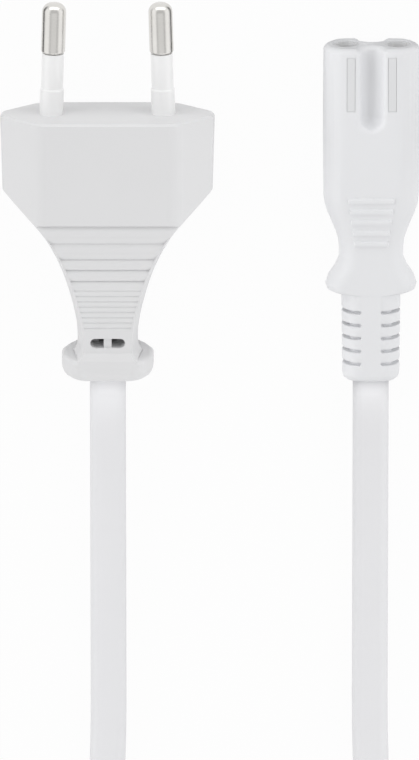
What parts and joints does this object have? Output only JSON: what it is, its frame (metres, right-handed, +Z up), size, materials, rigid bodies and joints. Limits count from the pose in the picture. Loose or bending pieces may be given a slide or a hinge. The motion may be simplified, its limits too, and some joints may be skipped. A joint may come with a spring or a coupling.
{
  "type": "figure eight power connector",
  "caption": "Flat two-core mains lead with a figure eight appliance connector at one end and a flat two-pin plug at the other, its spare cord coiled.",
  "frame": {"origin": "centre of the connector's footprint, on the surface that the lead lies on", "axes": "+Y along the connector, out of its sockets; +Z up, square to its flat side; the plug lies beside it towards -X and the cord leaves towards -Y"},
  "size_m": [0.0777, 0.2248, 0.0137],
  "materials": {
    "connector_pvc": "satin moulded PVC, very fine texture",
    "carrier_plastic": "satin moulded hard plastic",
    "contact_metal": "tinned brass strip, satin",
    "wire_insulation": "smooth PVC",
    "copper": "bare stranded copper",
    "cord_sheath": "satin extruded PVC",
    "plug_pvc": "satin moulded PVC, very fine texture",
    "bridge_plastic": "moulded hard plastic",
    "pin_nickel": "nickel-plated, turned, bright satin",
    "sleeve_plastic": "smooth moulded hard plastic"
  },
  "bodies": {
    "root": {"connector_body": "connector_pvc", "contact_carrier": "carrier_plastic", "contact_left": "contact_metal", "connector_wire_left": "wire_insulation", "connector_conductor_left": "copper", "contact_right": "contact_metal", "connector_wire_right": "wire_insulation", "connector_conductor_right": "copper", "cord_connector_run": "cord_sheath", "cord_coil": "cord_sheath", "cord_plug_run": "cord_sheath", "plug_body": "plug_pvc", "pin_bridge": "bridge_plastic", "pin_left": "pin_nickel", "pin_sleeve_left": "sleeve_plastic", "plug_wire_left": "wire_insulation", "plug_conductor_left": "copper", "pin_right": "pin_nickel", "pin_sleeve_right": "sleeve_plastic", "plug_wire_right": "wire_insulation", "plug_conductor_right": "copper"}
  },
  "joints": []
}
